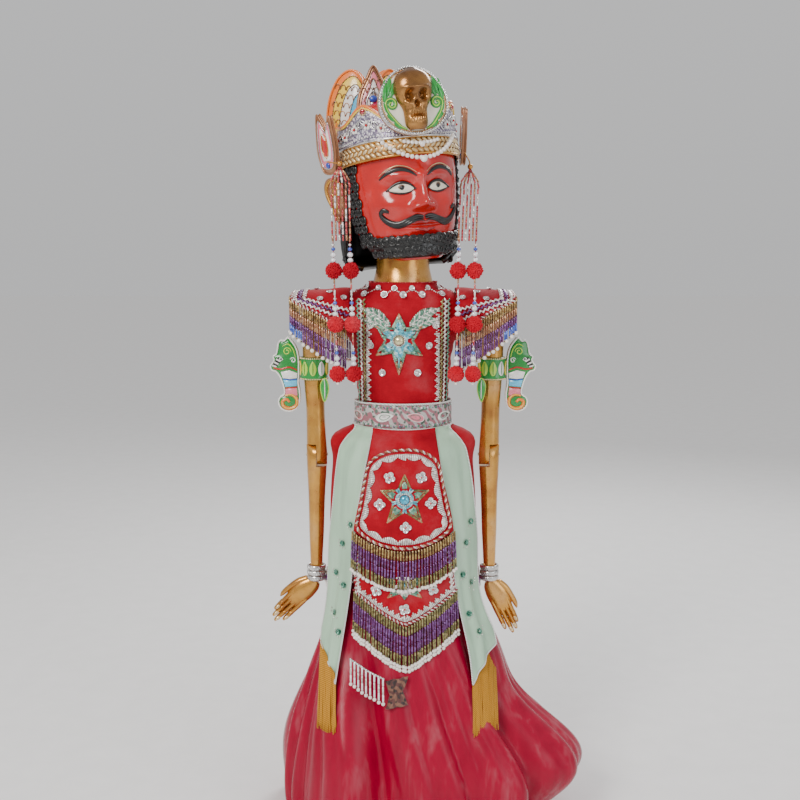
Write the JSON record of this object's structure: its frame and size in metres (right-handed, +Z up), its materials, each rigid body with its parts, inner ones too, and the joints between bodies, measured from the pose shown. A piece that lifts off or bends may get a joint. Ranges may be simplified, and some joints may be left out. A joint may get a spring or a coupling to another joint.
{
  "type": "wayang golek rod puppet",
  "caption": "Carved wooden rod puppet of a crowned ogre king: head turning on a central rod, corded jointed arms, beaded velvet and satin costume, on a turned stand.",
  "frame": {"origin": "centre of the wooden stand's underside, on the central rod's axis", "axes": "+Z up along the central rod; the puppet's chest faces -Y and its left arm is on the +X side"},
  "size_m": [0.3142, 0.2145, 0.7681],
  "materials": {
    "dark_wood": "oiled, satin",
    "pale_wood": "sanded, bare",
    "gold_paint": "gold paint on wood, satin gloss with reddish shading",
    "red_lacquer": "red lacquer on wood, glossy",
    "black_lacquer": "black lacquer on wood, satin",
    "crown_paint": "painted and gilt pierced leather and wood",
    "velvet": "red velvet with sewn beads and sequins",
    "satin": "crimson satin",
    "mint_satin": "mint green satin, soft sheen",
    "brocade": "silver-grey brocade with small paisleys",
    "beads": "threaded glass bugle beads in gold and purple",
    "gold_thread": "yellow-gold twisted thread",
    "pompon": "red wool pompons on beaded strands",
    "pearl": "pearl beads",
    "silver": "silver beads and bangles",
    "green_paint": "painted leather, green with white and yellow lines",
    "cord": "twisted cotton cord"
  },
  "bodies": {
    "stand": {"stand_base": "dark_wood"},
    "torso": {"torso": "pale_wood", "velvet_bodice": "velvet", "collar": "velvet", "belt": "brocade", "satin_skirt": "satin", "back_flap": "velvet", "left_hip_flap": "velvet", "right_hip_flap": "velvet", "left_sash": "mint_satin", "right_sash": "mint_satin", "left_sash_fringe": "gold_thread", "right_sash_fringe": "gold_thread", "upper_apron": "velvet", "upper_bead_fringe": "beads", "lower_apron": "velvet", "lower_bead_fringe": "beads", "silver_bead_row": "silver", "batik_tab": "brocade", "left_sleeve_cap": "velvet", "right_sleeve_cap": "velvet", "left_sleeve_fringe": "beads", "right_sleeve_fringe": "beads"},
    "neck": {"neck": "gold_paint"},
    "head": {"head": "red_lacquer", "central_rod": "pale_wood", "beard": "black_lacquer", "hair": "black_lacquer", "left_ear": "gold_paint", "right_ear": "gold_paint", "crown_band": "gold_paint", "crown_diadem": "crown_paint", "crown_medallion": "crown_paint", "crown_skull_boss": "gold_paint", "left_rear_plume": "crown_paint", "middle_plume": "crown_paint", "right_rear_plume": "crown_paint", "left_crown_wing": "crown_paint", "right_crown_wing": "crown_paint", "upper_pearls": "pearl", "lower_pearls": "pearl", "left_ear_tassel": "pompon", "right_ear_tassel": "pompon"},
    "left_shoulder_link": {"left_shoulder_cord": "cord"},
    "right_shoulder_link": {"right_shoulder_cord": "cord"},
    "left_upper_arm": {"left_upper_arm": "gold_paint", "left_armlet_cuff": "green_paint", "left_armlet_plate": "green_paint"},
    "right_upper_arm": {"right_upper_arm": "gold_paint", "right_armlet_cuff": "green_paint", "right_armlet_plate": "green_paint"},
    "left_forearm": {"left_forearm": "gold_paint", "left_hand": "gold_paint", "left_elbow_cord": "cord"},
    "right_forearm": {"right_forearm": "gold_paint", "right_hand": "gold_paint", "right_elbow_cord": "cord"},
    "left_bangles": {"left_bangles": "silver"},
    "right_bangles": {"right_bangles": "silver"}
  },
  "joints": [
    {"name": "lift_off_stand", "type": "slide", "parent": "stand", "child": "torso", "axis": [0, 0, 1], "range_m": [0, 0.15]},
    {"name": "neck_rise", "type": "slide", "parent": "torso", "child": "neck", "axis": [0, 0, 1], "range_m": [0, 0.012]},
    {"name": "head_turn", "type": "hinge", "parent": "neck", "child": "head", "pos_m": [0, 0, 0.604], "axis": [0, 0, 1], "range_deg": [-60, 60], "deforming": ["left_ear_tassel", "right_ear_tassel"]},
    {"name": "left_arm_raise", "type": "hinge", "parent": "torso", "child": "left_shoulder_link", "pos_m": [0.0735, 0, 0.522], "axis": [0, -1, 0], "range_deg": [0, 30], "deforming": ["left_sleeve_fringe"]},
    {"name": "left_arm_swing", "type": "hinge", "parent": "left_shoulder_link", "child": "left_upper_arm", "pos_m": [0.0735, 0, 0.522], "axis": [-1, 0, 0], "range_deg": [-30, 60], "deforming": ["left_sleeve_fringe"]},
    {"name": "left_elbow", "type": "hinge", "parent": "left_upper_arm", "child": "left_forearm", "pos_m": [0.088, 0, 0.382], "axis": [-1, 0, 0], "range_deg": [0, 90]},
    {"name": "left_bangle_slide", "type": "slide", "parent": "left_forearm", "child": "left_bangles", "axis": [0, 0, 1], "range_m": [0, 0.01]},
    {"name": "right_arm_raise", "type": "hinge", "parent": "torso", "child": "right_shoulder_link", "pos_m": [-0.0735, 0, 0.522], "axis": [0, 1, 0], "range_deg": [0, 30], "deforming": ["right_sleeve_fringe"]},
    {"name": "right_arm_swing", "type": "hinge", "parent": "right_shoulder_link", "child": "right_upper_arm", "pos_m": [-0.0735, 0, 0.522], "axis": [-1, 0, 0], "range_deg": [-30, 60], "deforming": ["right_sleeve_fringe"]},
    {"name": "right_elbow", "type": "hinge", "parent": "right_upper_arm", "child": "right_forearm", "pos_m": [-0.088, 0, 0.382], "axis": [-1, 0, 0], "range_deg": [0, 90]},
    {"name": "right_bangle_slide", "type": "slide", "parent": "right_forearm", "child": "right_bangles", "axis": [0, 0, 1], "range_m": [0, 0.01]}
  ]
}
